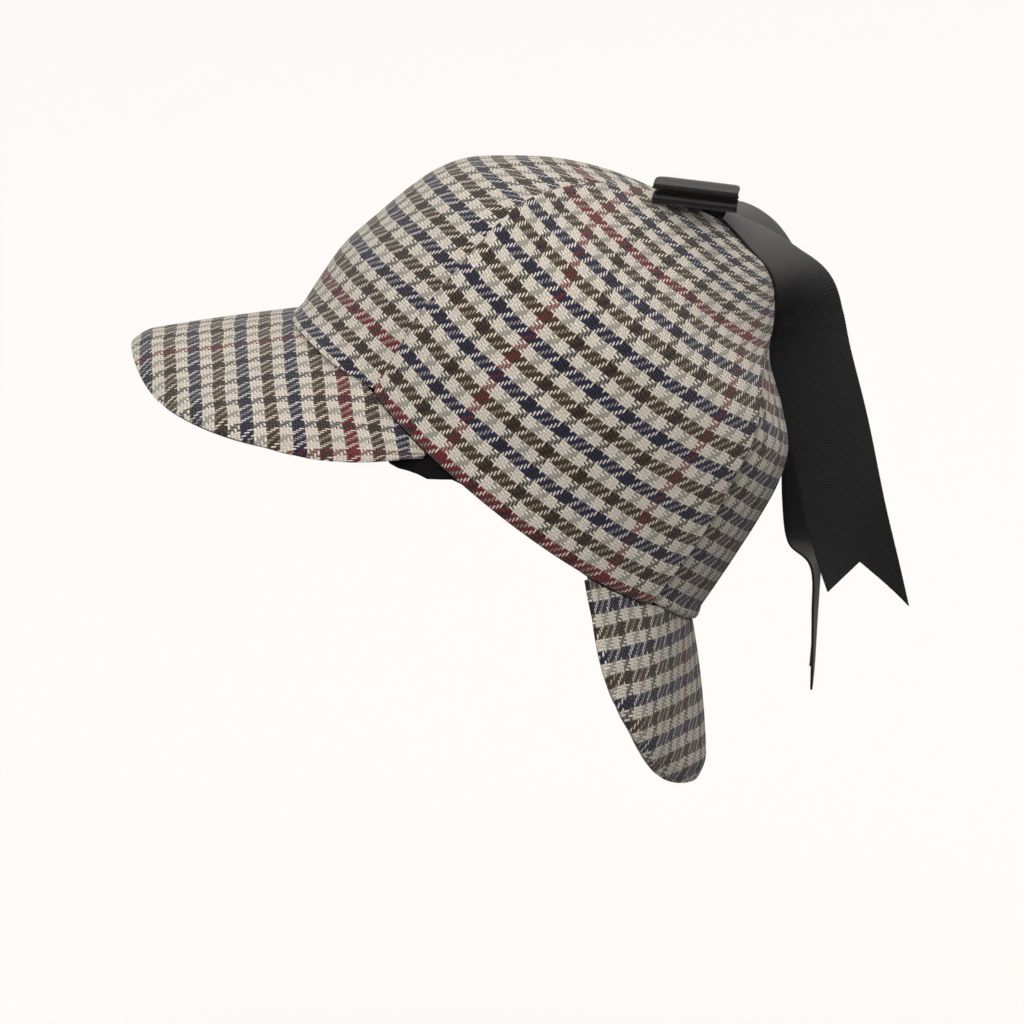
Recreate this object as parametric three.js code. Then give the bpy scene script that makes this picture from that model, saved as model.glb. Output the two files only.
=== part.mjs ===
// A deerstalker hat in check tweed, in its worn form: tilted back, with both ear flaps turned up
// over the crown and tied on top in a bow of black grosgrain ribbon.
// Millimetres, +Z up. The front of the hat points along -X and the wearer's left along -Y.
// The origin is the middle of the rim, where a head fills the hat.
import * as THREE from "three";
import { mergeVertices } from "three/addons/utils/BufferGeometryUtils.js";

const { clamp, lerp, mapLinear, smoothstep } = THREE.MathUtils;
const DEG = Math.PI / 180;

// Driving dimensions
const WORN_TILT = 38.4 * DEG; // the rim drops towards the back by this much
const GAP = 0.35; // clearance between neighbouring pieces
const CROWN_CLOTH = 2;
const FLAP_CLOTH = 2.6;
const FLAP_TIP_CLOTH = 1.5; // the flaps' tips are pressed flat under the bow
const FLAP_LIFT = 0.65; // the turned-up flap lies this far off the crown
const PEAK_CLOTH = 3;
const BAND_CLOTH = 1.2;
const RIBBON_CLOTH = 1;
const RIBBON_WIDTH = 34.2;

// The crown's level sections from the rim to the top, in the hat's own upright frame.
const CROWN_SECTIONS = [
  { height: 0, front: -102.5, back: 101.5, side: 86 },
  { height: 16, front: -104.2, back: 100.6, side: 87 },
  { height: 32, front: -105, back: 99.3, side: 87.5 },
  { height: 50, front: -102, back: 97.3, side: 86.5 },
  { height: 66, front: -98.7, back: 94.3, side: 83.5 },
  { height: 79, front: -94.3, back: 88.5, side: 78 },
  { height: 90, front: -87.3, back: 76.5, side: 70 },
  { height: 101, front: -74.5, back: 61.5, side: 58 },
  { height: 111, front: -60.5, back: 53.5, side: 46 },
  { height: 119, front: -44.6, back: 46.5, side: 33.5 },
  { height: 125.5, front: -25, back: 40, side: 21.5 },
  { height: 130, front: -2, back: 32, side: 11 },
  { height: 131.5, front: 12, back: 21, side: 3 },
];

// The six gores in order round the crown, from the seam at its front over the wearer's left.
const GORE_NAMES = ["front_left", "side_left", "back_left", "back_right", "side_right", "front_right"];
const GORE_ANGLE = (2 * Math.PI) / GORE_NAMES.length;
const GORE_STEPS = 8; // steps across one gore
const CROWN_STEPS = 14; // steps from the rim to the top, shared by the gores and the flaps over them
const TOP_CLOSE = 0.8; // the gores' points run in from the top section by this share of its width
const SEAM = { dip: 1.1, width: 0.16 }; // how far the crown sinks at a seam, and over what angle

// Where the turned-up flap's front and rear edges lie, as degrees round the crown from its front,
// from the fold at the rim up to the tip.
const FLAP_EDGES = [
  { front: 55, rear: 138 },
  { front: 53, rear: 139 },
  { front: 51, rear: 137 },
  { front: 49, rear: 141 },
  { front: 46, rear: 160 },
  { front: 44, rear: 176 },
  { front: 42, rear: 178 },
];
const FLAP_STEPS = 16; // steps across one flap
const FLAP_MID_GAP = 0.6; // the two flaps stop this far from the crown's middle line

// The fold at the flap's root: how far it hangs below the rim, and how evenly over its width.
const FOLD = { corner: 1.2, middle: 7.2, evenness: 0.7 };
// Its section: steps round the roll, as distances from the crown's face and shares of that hang.
const FOLD_STEPS = [
  { inner: -1.9, outer: -2.2, hang: 0.45 },
  { inner: -1.2, outer: -1.7, hang: 0.8 },
  { inner: -0.4, outer: 0.4, hang: 1 },
  { inner: 0.1, outer: 2.2, hang: 0.8 },
  { inner: FLAP_LIFT, outer: FLAP_LIFT + FLAP_CLOTH, hang: 0.4 },
];

// Peaks: at and spread are the seam's middle and half width in degrees round the rim. The slope
// below the rim's plane goes from droop in the middle to endDroop beside it, plus the curl outwards.
const FRONT_PEAK = { at: 0, spread: 73, reach: 69, droop: 46.5, endDroop: 57.5, curl: 4, steps: 28 };
const BACK_PEAK = { at: 180, spread: 60, reach: 66, droop: 46, endDroop: 55, curl: 10, steps: 24 };
const PEAK_OUT_STEPS = 6;
const PEAK_TAPER = 2.7; // how late the reach falls off towards the ends
const PEAK_END_REACH = 5;
const PEAK_ARCH = 0.37; // the share of the half width over which the droop grows
const PEAK_EASE = 7; // degrees over which the seam drops beside a flap's fold

// The band inside the rim, from its free lower edge up to its top. Only that edge hangs.
const BAND_ROWS = [
  { share: 0, hang: 1 },
  { share: 0, hang: 0 },
  { share: 0.075, hang: 0 },
  { share: 0.15, hang: 0 },
];
// How far it hangs below the rim, by the degrees from the front: it sags behind the front peak's ends.
const BAND_HANG = [
  { at: 0, below: 6.5 },
  { at: 45, below: 6.5 },
  { at: 52.5, below: 9.5 },
  { at: 60, below: 15 },
  { at: 67.5, below: 19 },
  { at: 75, below: 15 },
  { at: 82.5, below: 7.5 },
  { at: 90, below: 6.5 },
  { at: 180, below: 6.5 },
];
const BAND = { setback: 2.95, seam: 0.4, steps: 48 };

// Bow: the knot lies along the slope of the crown's top and the loops stand out from it.
const BOW_AT = new THREE.Vector3(85, 0, 108);
const KNOT = { length: 17, width: 14, height: 11, tilt: 30 * DEG, drop: 1.2 };
const KNOT_ROUND = 0.62; // how much its corners are rounded off
const KNOT_WAIST = 0.12; // how much it is drawn in across its middle
const GATHER = { width: 12, over: 26 }; // the ribbon is bunched at the knot and opens over this run
// One loop in its own plane: distance from the knot's middle, and rise from the loop's mid line.
const LOOP_PATH = [
  { out: 7.6, rise: 0.8 },
  { out: 14, rise: 1.2 },
  { out: 24, rise: 1.6 },
  { out: 33, rise: 1.9 },
  { out: 35.2, rise: 0 },
  { out: 33, rise: -1.9 },
  { out: 24, rise: -1.6 },
  { out: 14, rise: -1.2 },
  { out: 7.6, rise: -0.8 },
];
// side is -1 on the wearer's left. The loop is tipped back by tilt and swung forward by turn, and its
// mid line bends over from knotLift to endLift.
const LOOPS = [
  { name: "bow_loop_upper", side: -1, tilt: 6.2, turn: 12, knotLift: 5.4, endLift: 5.2 },
  { name: "bow_loop_lower", side: -1, tilt: 6.2, turn: 12, knotLift: 1.45, endLift: -0.65 },
  { name: "bow_loop_far", side: 1, tilt: 26, turn: 6, knotLift: -2.4, endLift: -8 },
];
const LOOP_STEPS = { across: 4, along: 22 };

// Tails: the ribbon's mid line from the knot to its end. turn is 0 where the ribbon lies flat on the
// crown and 90 where it hangs with its face to the side.
const TAIL_LEFT = [
  { x: 92.1, y: -2.4, z: 102.6, turn: 4 },
  { x: 100.5, y: -0.6, z: 96.3, turn: 10 },
  { x: 108.8, y: 6, z: 89.6, turn: 15 },
  { x: 117.8, y: 10, z: 79.9, turn: 28 },
  { x: 125, y: 13, z: 68.5, turn: 50 },
  { x: 127.2, y: 15, z: 56, turn: 62 },
  { x: 129, y: 15, z: 41, turn: 72 },
  { x: 135.8, y: 13, z: 12, turn: 78 },
  { x: 144, y: 9, z: -27, turn: 78 },
  { x: 155.5, y: 6, z: -66, turn: 60 },
];
const TAIL_RIGHT = [
  { x: 92.8, y: 8.7, z: 105, turn: 0 },
  { x: 98, y: 24, z: 102.6, turn: 6 },
  { x: 104.5, y: 38, z: 96.3, turn: 18 },
  { x: 111.5, y: 46, z: 88, turn: 26 },
  { x: 118, y: 48, z: 78, turn: 27 },
  { x: 123.5, y: 47, z: 68, turn: 24 },
  { x: 126.2, y: 44, z: 45, turn: 36 },
  { x: 129.5, y: 41, z: 10, turn: 44 },
  { x: 131, y: 38, z: -17, turn: 50 },
  { x: 132.8, y: 36, z: -35, turn: 48 },
  { x: 133.2, y: 36, z: -46, turn: 13 },
  { x: 132.4, y: 36, z: -67, turn: 7 },
  { x: 131, y: 36, z: -98, turn: 3 },
];
// The cut ends, as how much shorter the ribbon is at its near edge, at its notch and at its far edge.
const CUT_LEFT = { near: 17.5, notch: 25, far: 0 };
const CUT_RIGHT = { near: 0, notch: 14, far: 4 };
const TAIL_OPENS = 4; // the tails open out this much sooner than the loops
const TAIL_STEPS = { across: 6, along: 30 };

// Finishes of the tweed, the ribbon and the band
const TWEED = { color: 0xb5aa9c, roughness: 0.95, metalness: 0 };
const GROSGRAIN = { color: 0x1d1b1d, roughness: 0.7, metalness: 0 };
const SATIN = { color: 0x141314, roughness: 0.6, metalness: 0 };

const TINY = 1e-3; // the short step that a direction is read over

// One column of a table read at a share of its rows, as a smooth curve through them.
function readColumn(table, column, share) {
  const last = table.length - 1;
  const place = clamp(share, 0, 1) * last;
  const row = Math.min(Math.floor(place), last - 1);
  const f = place - row;
  const value = (k) => table[clamp(k, 0, last)][column];
  const [a, b, c, d] = [value(row - 1), value(row), value(row + 1), value(row + 2)];
  const bend = (2 * a - 5 * b + 4 * c - d) * f * f + (3 * b - a - 3 * c + d) * f * f * f;
  return b + ((c - a) * f + bend) / 2;
}

// A point of the crown's outer face. The angle runs from the front over the left to the back, and
// the share runs from the rim to the top.
function crownPoint(angle, share) {
  const height = readColumn(CROWN_SECTIONS, "height", share);
  const front = readColumn(CROWN_SECTIONS, "front", share);
  const back = readColumn(CROWN_SECTIONS, "back", share);
  const side = readColumn(CROWN_SECTIONS, "side", share);
  const fromSeam = Math.abs(angle - GORE_ANGLE * Math.round(angle / GORE_ANGLE));
  const dip = SEAM.dip * Math.exp(-((fromSeam / SEAM.width) ** 2)) * Math.sin(Math.PI * share);
  const halfLength = (back - front) / 2 - dip;
  const x = (back + front) / 2 - halfLength * Math.cos(angle);
  return new THREE.Vector3(x, -(side - dip) * Math.sin(angle), height);
}

// The crown's outward direction, from two short steps over its face.
function crownNormal(angle, share) {
  const low = Math.min(share, 1 - TINY);
  const across = crownPoint(angle + TINY, low).sub(crownPoint(angle - TINY, low));
  const up = crownPoint(angle, low + TINY).sub(crownPoint(angle, Math.max(low - TINY, 0)));
  return across.cross(up).normalize();
}

// A point at a distance out from the crown's face, and below the rim where a depth is given.
function crownOffset(angle, share, distance, depth = 0) {
  const point = crownPoint(angle, share).addScaledVector(crownNormal(angle, share), distance);
  point.z -= depth;
  return point;
}

// A solid sheet: a block of segments whose corners u, v and w, from 0 to 1, are moved by a function.
// w runs through the cloth, from its inner face to its outer face.
function sheet(segments, place) {
  const block = new THREE.BoxGeometry(1, 1, 1, ...segments);
  block.deleteAttribute("normal");
  block.deleteAttribute("uv");
  const solid = mergeVertices(block, 1e-4);
  const corners = solid.attributes.position;
  for (let i = 0; i < corners.count; i++) {
    const point = place(corners.getX(i) + 0.5, corners.getY(i) + 0.5, corners.getZ(i) + 0.5);
    corners.setXYZ(i, point.x, point.y, point.z);
  }
  solid.computeVertexNormals();
  return solid;
}

function piece(name, geometry, finish) {
  const mesh = new THREE.Mesh(geometry, new THREE.MeshStandardMaterial(finish));
  mesh.name = name;
  return mesh;
}

// One gore of the crown between two seams.
function gore(name, index) {
  const top = CROWN_SECTIONS.at(-1);
  const middle = new THREE.Vector3((top.front + top.back) / 2, 0, top.height);
  const upSteps = CROWN_STEPS + 1;
  const geometry = sheet([GORE_STEPS, upSteps, 1], (u, v, w) => {
    const step = Math.round(v * upSteps);
    const share = Math.min(step / CROWN_STEPS, 1);
    const close = step > CROWN_STEPS ? TOP_CLOSE : 0;
    const edge = GAP / 2 / (1 - close) / readColumn(CROWN_SECTIONS, "side", share);
    const angle = lerp(index * GORE_ANGLE + edge, (index + 1) * GORE_ANGLE - edge, u);
    const inward = middle.clone().setZ(middle.z + (w - 1) * CROWN_CLOTH);
    return crownOffset(angle, share, (w - 1) * CROWN_CLOTH).lerp(inward, close);
  });
  return piece(name, geometry, TWEED);
}

// How far a flap's fold hangs below the rim at a share of the flap's width.
function foldHang(share) {
  const fullness = Math.max(0, Math.sin(Math.PI * share)) ** FOLD.evenness;
  return lerp(FOLD.corner, FOLD.middle, fullness);
}

// An ear flap, from its fold at the rim up to its tip on top of the crown. side is 1 on the
// wearer's left and -1 on the right.
function earFlap(name, side) {
  const foldSteps = FOLD_STEPS.length;
  const upSteps = foldSteps + CROWN_STEPS;
  const geometry = sheet([FLAP_STEPS, upSteps, 1], (u, v, w) => {
    const step = Math.round(v * upSteps);
    const share = Math.max(0, step - foldSteps) / CROWN_STEPS;
    const width = readColumn(CROWN_SECTIONS, "side", share);
    const middle = Math.PI - Math.asin(Math.min(1, FLAP_MID_GAP / width));
    const front = readColumn(FLAP_EDGES, "front", share) * DEG;
    const rear = Math.min(readColumn(FLAP_EDGES, "rear", share) * DEG, middle);
    const across = side > 0 ? u : 1 - u;
    const angle = side * lerp(front, rear, across);
    const cloth = lerp(FLAP_CLOTH, FLAP_TIP_CLOTH, smoothstep(share, 0.45, 0.72));
    if (step >= foldSteps) return crownOffset(angle, share, FLAP_LIFT + w * cloth);
    const fold = FOLD_STEPS[step];
    const depth = w < 0.5 ? GAP : Math.max(fold.hang * foldHang(across), 2 * GAP);
    return crownOffset(angle, 0, w < 0.5 ? fold.inner : fold.outer, depth);
  });
  return piece(name, geometry, TWEED);
}

// How far below the rim a peak is sewn: under the crown's edge, and under the flap's fold beside it.
function peakSeat(angle) {
  const fromFront = Math.abs(Math.atan2(Math.sin(angle), Math.cos(angle))) / DEG;
  const { front, rear } = FLAP_EDGES[0];
  const share = clamp((fromFront - front) / (rear - front), 0, 1);
  const nearness = Math.min(fromFront - front, rear - fromFront) / PEAK_EASE + 1;
  return GAP + smoothstep(nearness, 0, 1) * (GAP + foldHang(share));
}

// A peak: a stiff crescent that runs out and down from the rim, arched from side to side.
function peak(name, { at, spread, reach, droop, endDroop, curl, steps }) {
  const geometry = sheet([steps, PEAK_OUT_STEPS, 1], (u, v, w) => {
    const turn = lerp(spread, -spread, u);
    const share = Math.abs(turn) / spread;
    const angle = (at + turn) * DEG;
    const length = lerp(reach, PEAK_END_REACH, share ** PEAK_TAPER);
    const bend = curl * DEG;
    const first = lerp(droop, endDroop, smoothstep(share, 0, PEAK_ARCH)) * DEG - bend / 2;
    const slope = first + bend * v;
    const out = ((Math.sin(slope) - Math.sin(first)) / bend) * length;
    const down = ((Math.cos(first) - Math.cos(slope)) / bend) * length;
    const through = (w - 1) * PEAK_CLOTH;
    const outward = crownNormal(angle, 0).setZ(0).normalize();
    const point = crownPoint(angle, 0);
    point.addScaledVector(outward, out + through * Math.sin(slope));
    point.z -= peakSeat(angle) + down - through * Math.cos(slope);
    return point;
  });
  return piece(name, geometry, TWEED);
}

// How far the band hangs below the rim, on straight lines between the rows of its table.
function bandHang(angle) {
  const fromFront = Math.abs(angle) / DEG;
  const next = BAND_HANG.findIndex(({ at }) => at > fromFront);
  const [before, after] = BAND_HANG.slice(next - 1, next + 1);
  return mapLinear(fromFront, before.at, after.at, before.below, after.below);
}

// The band inside the rim, a strip whose ends meet at the middle of the back.
function sweatband() {
  const rows = BAND_ROWS.length - 1;
  const edge = BAND.seam / CROWN_SECTIONS[0].side;
  const geometry = sheet([BAND.steps, rows, 1], (u, v, w) => {
    const { share, hang } = BAND_ROWS[Math.round(v * rows)];
    const angle = lerp(edge - Math.PI, Math.PI - edge, u);
    const depth = hang * bandHang(angle);
    return crownOffset(angle, share, (w - 1) * BAND_CLOTH - BAND.setback, depth);
  });
  return piece("sweatband", geometry, SATIN);
}

// The ribbon's width at a distance from the knot: bunched there, and flat further out.
function ribbonWidth(distance) {
  return lerp(GATHER.width, RIBBON_WIDTH, smoothstep(distance, 0, GATHER.over));
}

// The knot, a plump wrap of ribbon whose corners are rounded off.
function bowKnot() {
  const pull = (a, b) => Math.sqrt(1 - KNOT_ROUND * ((a * a + b * b) / 2 - (a * a * b * b) / 3));
  const geometry = sheet([6, 6, 4], (u, v, w) => {
    const [x, y, z] = [2 * u - 1, 2 * v - 1, 2 * w - 1];
    const waist = 1 - KNOT_WAIST * Math.cos((Math.PI * y) / 2);
    return new THREE.Vector3(
      (KNOT.length / 2) * waist * x * pull(y, z),
      (KNOT.width / 2) * y * pull(x, z),
      (KNOT.height / 2) * z * pull(x, y),
    );
  });
  const knot = piece("bow_knot", geometry, GROSGRAIN);
  knot.rotation.y = KNOT.tilt;
  knot.position.z = -KNOT.drop;
  return knot;
}

// A loop of the bow: a ribbon that leaves the knot, turns back on itself and returns.
function bowLoop({ name, side, tilt, turn, knotLift, endLift }) {
  const first = LOOP_PATH[0].out;
  const last = Math.max(...LOOP_PATH.map((row) => row.out));
  const path = (share) => {
    const out = readColumn(LOOP_PATH, "out", share);
    const lift = lerp(knotLift, endLift, mapLinear(out, first, last, 0, 1) ** 2);
    return new THREE.Vector2(out, lift + readColumn(LOOP_PATH, "rise", share));
  };
  const geometry = sheet([LOOP_STEPS.across, LOOP_STEPS.along, 1], (u, v, w) => {
    const at = path(v);
    const along = path(Math.min(v + TINY, 1)).sub(path(Math.max(v - TINY, 0))).normalize();
    const through = (0.5 - w) * RIBBON_CLOTH;
    const across = side * (u - 0.5) * ribbonWidth(at.x - first);
    return new THREE.Vector3(across, side * (at.x + along.y * through), at.y - along.x * through);
  });
  const loop = piece(name, geometry, GROSGRAIN);
  loop.rotation.set(0, tilt * DEG, side * turn * DEG);
  return loop;
}

// A hanging tail of the bow, with a notched end.
function ribbonTail(name, rows, cut) {
  const route = new THREE.CatmullRomCurve3(rows.map(({ x, y, z }) => new THREE.Vector3(x, y, z)));
  const length = route.getLength();
  const point = (share) =>
    new THREE.Vector3(...["x", "y", "z"].map((column) => readColumn(rows, column, share)));
  const endCut = (u) =>
    u < 0.5 ? lerp(cut.near, cut.notch, 2 * u) : lerp(cut.notch, cut.far, 2 * u - 1);
  const geometry = sheet([TAIL_STEPS.across, TAIL_STEPS.along, 1], (u, v, w) => {
    const distance = v * (length - endCut(u));
    const share = route.getUtoTmapping(distance / length);
    const along = point(Math.min(share + TINY, 1)).sub(point(Math.max(share - TINY, 0)));
    along.setY(0).normalize();
    const raised = new THREE.Vector3(-along.z, 0, along.x);
    const turn = readColumn(rows, "turn", share) * DEG;
    const across = new THREE.Vector3(0, Math.cos(turn), 0).addScaledVector(raised, Math.sin(turn));
    const normal = along.clone().cross(across);
    return point(share)
      .addScaledVector(across, (u - 0.5) * ribbonWidth(distance + TAIL_OPENS))
      .addScaledVector(normal, (0.5 - w) * RIBBON_CLOTH);
  });
  return piece(name, geometry, GROSGRAIN);
}

const hat = new THREE.Group();

const body = new THREE.Group();
body.rotation.y = WORN_TILT;
GORE_NAMES.forEach((name, index) => body.add(gore("gore_" + name, index)));
body.add(earFlap("ear_flap_left", 1), earFlap("ear_flap_right", -1));
body.add(peak("front_peak", FRONT_PEAK), peak("back_peak", BACK_PEAK));
body.add(sweatband());
hat.add(body);

const bow = new THREE.Group();
bow.position.copy(BOW_AT);
bow.add(bowKnot(), ...LOOPS.map(bowLoop));
hat.add(bow);
hat.add(ribbonTail("ribbon_tail_left", TAIL_LEFT, CUT_LEFT));
hat.add(ribbonTail("ribbon_tail_right", TAIL_RIGHT, CUT_RIGHT));

export default hat;
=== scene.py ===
import math
from collections import namedtuple
from functools import lru_cache

import bmesh
import bpy
from mathutils import Matrix, Vector, noise


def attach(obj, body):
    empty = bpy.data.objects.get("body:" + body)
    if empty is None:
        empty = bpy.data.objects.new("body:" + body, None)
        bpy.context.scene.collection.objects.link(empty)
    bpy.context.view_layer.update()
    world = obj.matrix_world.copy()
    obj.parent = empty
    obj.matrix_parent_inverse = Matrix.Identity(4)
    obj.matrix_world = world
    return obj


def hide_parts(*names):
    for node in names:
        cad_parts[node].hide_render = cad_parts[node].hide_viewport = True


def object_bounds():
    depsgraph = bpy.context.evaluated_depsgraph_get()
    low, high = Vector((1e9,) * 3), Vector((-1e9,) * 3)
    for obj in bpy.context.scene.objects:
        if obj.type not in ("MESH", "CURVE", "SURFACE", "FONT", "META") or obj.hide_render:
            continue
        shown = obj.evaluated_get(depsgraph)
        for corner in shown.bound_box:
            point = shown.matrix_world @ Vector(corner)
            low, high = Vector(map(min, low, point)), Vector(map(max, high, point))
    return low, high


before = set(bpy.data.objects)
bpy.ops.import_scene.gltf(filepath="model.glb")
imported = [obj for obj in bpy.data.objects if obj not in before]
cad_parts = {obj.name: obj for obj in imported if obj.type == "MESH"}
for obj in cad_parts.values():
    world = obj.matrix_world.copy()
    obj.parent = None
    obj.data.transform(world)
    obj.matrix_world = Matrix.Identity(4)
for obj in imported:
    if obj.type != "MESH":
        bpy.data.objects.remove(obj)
cad_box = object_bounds()

# Studio: a pale floor far below the hat, a broad soft light from beside the camera, weaker ones from
# overhead, the right and behind, and a surround that is dim from below. The camera looks at the
# wearer's left side from a little above.
FLOOR_DROP = 0.4
FLOOR_SIZE = 160
CAMERA_ELEVATION = math.radians(8)
CAMERA_DISTANCE = 1.6
PHOTO_SIDE = 1024
PHOTO_ORIGIN = (498.5, 462.5)
PIXELS_PER_METRE = 2450
SENSOR = 36

camera_data = bpy.data.cameras.new("camera")
camera_data.sensor_width = SENSOR
camera_data.lens = SENSOR * CAMERA_DISTANCE * PIXELS_PER_METRE / PHOTO_SIDE
camera = bpy.data.objects.new("camera", camera_data)
view_up = Vector((0, math.sin(CAMERA_ELEVATION), math.cos(CAMERA_ELEVATION)))
view_back = Vector((0, -math.cos(CAMERA_ELEVATION), math.sin(CAMERA_ELEVATION)))
aim_right, aim_down = ((PHOTO_SIDE / 2 - place) / PIXELS_PER_METRE for place in PHOTO_ORIGIN)
camera.location = Vector((aim_right, 0, 0)) - aim_down * view_up + CAMERA_DISTANCE * view_back
camera.rotation_euler = (math.pi / 2 - CAMERA_ELEVATION, 0, 0)
bpy.context.collection.objects.link(camera)
bpy.context.scene.camera = camera

DistantLight = namedtuple("DistantLight", "name comes_from strength spread colour shows_in_gloss")
DISTANT_LIGHTS = [
    DistantLight("key_light", (-0.1, -0.92, 0.38), 2.6, 45, (1, 0.985, 0.96), False),
    DistantLight("fill_light", (0.9, -0.5, 0.25), 0.3, 70, (1, 0.93, 0.87), False),
    DistantLight("overhead_light", (0.05, -0.02, 1), 1.15, 50, (1, 0.95, 0.88), True),
    DistantLight("back_light", (0.5, 0.75, 0.45), 0.32, 60, (1, 0.94, 0.87), True),
    DistantLight("far_light", (0.15, 0.95, 0.3), 0.75, 70, (1, 0.98, 0.95), False),
]
for row in DISTANT_LIGHTS:
    light_data = bpy.data.lights.new(row.name, "SUN")
    light_data.energy = row.strength
    light_data.angle = math.radians(row.spread)
    light_data.color = row.colour
    light = bpy.data.objects.new(row.name, light_data)
    light.rotation_euler = Vector(row.comes_from).to_track_quat("Z", "Y").to_euler()
    light.visible_glossy = row.shows_in_gloss
    bpy.context.collection.objects.link(light)

SURROUND_BELOW = 0.04
SURROUND_ABOVE = 0.35
surround = bpy.data.worlds.new("surround")
surround.use_nodes = True
sky_way = surround.node_tree.nodes.new("ShaderNodeTexCoord")
sky_parts = surround.node_tree.nodes.new("ShaderNodeSeparateXYZ")
sky_light = surround.node_tree.nodes.new("ShaderNodeMapRange")
sky_light.inputs["From Min"].default_value = -0.4
sky_light.inputs["To Min"].default_value = SURROUND_BELOW
sky_light.inputs["To Max"].default_value = SURROUND_ABOVE
surround.node_tree.links.new(sky_way.outputs["Generated"], sky_parts.inputs[0])
surround.node_tree.links.new(sky_parts.outputs["Z"], sky_light.inputs["Value"])
surround.node_tree.links.new(sky_light.outputs[0], surround.node_tree.nodes["Background"].inputs["Color"])
bpy.context.scene.world = surround
bpy.context.scene.view_settings.view_transform = "Standard"

floor_build = bmesh.new()
bmesh.ops.create_grid(floor_build, x_segments=1, y_segments=1, size=FLOOR_SIZE / 2)
bmesh.ops.translate(floor_build, verts=floor_build.verts, vec=(0, 0, cad_box[0][2] - FLOOR_DROP))
floor_mesh = bpy.data.meshes.new("floor")
floor_build.to_mesh(floor_mesh)
floor_build.free()
floor = bpy.data.objects.new("floor", floor_mesh)
floor.visible_diffuse = False
floor.visible_glossy = False
bpy.context.collection.objects.link(floor)
floor_paint = bpy.data.materials.new("floor_paint")
floor_paint.use_nodes = True
floor_paint.node_tree.nodes["Principled BSDF"].inputs["Base Color"].default_value = (0.92, 0.92, 0.93, 1)
floor_paint.node_tree.nodes["Principled BSDF"].inputs["Roughness"].default_value = 0.9
floor_mesh.materials.append(floor_paint)

# Crown: six gores of check wool tweed, cut with the check level and sewn edge to edge from the rim up
# to the top, where their points meet. The seams draw the cloth in, and the cloth is a 2/2 twill.
# Sizes of the cloth are in millimetres in the hat's own frame, with the rim's plane level.
WORN_TILT = math.radians(38.4)
WORN = Matrix.Rotation(WORN_TILT, 4, "Y") @ Matrix.Scale(0.001, 4)
GAP = 0.35
SEAM_GAP = 0.02
CROWN_CLOTH = 2
GORE_ANGLE = math.radians(60)
GORE_GRID = (44, 110)
SEAM_DIP = 1.1
SEAM_WIDTH = 0.16
TINY = 1e-3
RISE_PITCH = 1.21
CROSS_PITCH = 1
WEAVE_REPEAT = 480

CrownSection = namedtuple("CrownSection", "height front back side")
CROWN_SECTIONS = [
    CrownSection(0, -102.5, 101.5, 86),
    CrownSection(16, -104.2, 100.6, 87),
    CrownSection(32, -105, 99.3, 87.5),
    CrownSection(50, -102, 97.3, 86.5),
    CrownSection(66, -98.7, 94.3, 83.5),
    CrownSection(79, -94.3, 88.5, 78),
    CrownSection(90, -87.3, 76.5, 70),
    CrownSection(101, -74.5, 61.5, 58),
    CrownSection(111, -60.5, 53.5, 46),
    CrownSection(119, -44.6, 46.5, 33.5),
    CrownSection(125.5, -25, 40, 21.5),
    CrownSection(130, -2, 32, 11),
    CrownSection(131.5, 12, 21, 3),
]
Gore = namedtuple("Gore", "name rise_start cross_start")
GORES = [
    Gore("gore_front_left", -12.5, 42),
    Gore("gore_side_left", -12.5, 40),
    Gore("gore_back_left", 12.5, 40),
    Gore("gore_back_right", 12.5, 40),
    Gore("gore_side_right", -12.5, 40),
    Gore("gore_front_right", -12.5, 38),
]


def clamp(value, low=0.0, high=1.0):
    return max(low, min(high, value))


def lerp(start, end, share):
    return start + (end - start) * share


def smoothstep(value, low, high):
    share = clamp((value - low) / (high - low))
    return share * share * (3 - 2 * share)


def read_rows(table, share):
    """All columns of a table at a share of its rows, as smooth curves through them."""
    last = len(table) - 1
    place = clamp(share) * last
    row = min(int(place), last - 1)
    f = place - row
    rows = [table[int(clamp(k, 0, last))] for k in range(row - 1, row + 3)]
    values = []
    for a, b, c, d in zip(*rows):
        bend = (2 * a - 5 * b + 4 * c - d) * f * f + (3 * b - a - 3 * c + d) * f**3
        values.append(b + ((c - a) * f + bend) / 2)
    return type(table[0])(*values)


@lru_cache(maxsize=None)
def crown_section(share):
    return read_rows(CROWN_SECTIONS, share)


def crown_point(angle, share):
    """A point of the crown's outer face. The angle runs from the front over the left to the back."""
    section = crown_section(share)
    from_seam = abs(angle - GORE_ANGLE * round(angle / GORE_ANGLE))
    dip = SEAM_DIP * math.exp(-((from_seam / SEAM_WIDTH) ** 2)) * math.sin(math.pi * share)
    half_length = (section.back - section.front) / 2 - dip
    x = (section.back + section.front) / 2 - half_length * math.cos(angle)
    return Vector((x, -(section.side - dip) * math.sin(angle), section.height))


def crown_normal(angle, share):
    low = min(share, 1 - TINY)
    across = crown_point(angle + TINY, low) - crown_point(angle - TINY, low)
    up = crown_point(angle, low + TINY) - crown_point(angle, max(low - TINY, 0))
    return across.cross(up).normalized()


def crown_offset(angle, share, distance, depth=0.0):
    point = crown_point(angle, share) + distance * crown_normal(angle, share)
    point.z -= depth
    return point


@lru_cache(maxsize=None)
def climb(angle, share):
    """The way up over the crown from the rim, along its face."""
    stops = [crown_point(angle, share * step / 40) for step in range(41)]
    return sum((after - before).length for before, after in zip(stops, stops[1:]))


def ring_run(start, end, share):
    """The way round the crown between two angles at one height."""
    stops = [crown_point(lerp(start, end, step / 12), share) for step in range(13)]
    run = sum((after - before).length for before, after in zip(stops, stops[1:]))
    return run if end > start else -run


def rumple(point, size, height):
    """The small soft unevenness of cloth that has been handled."""
    return height * noise.noise(point / size)


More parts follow.
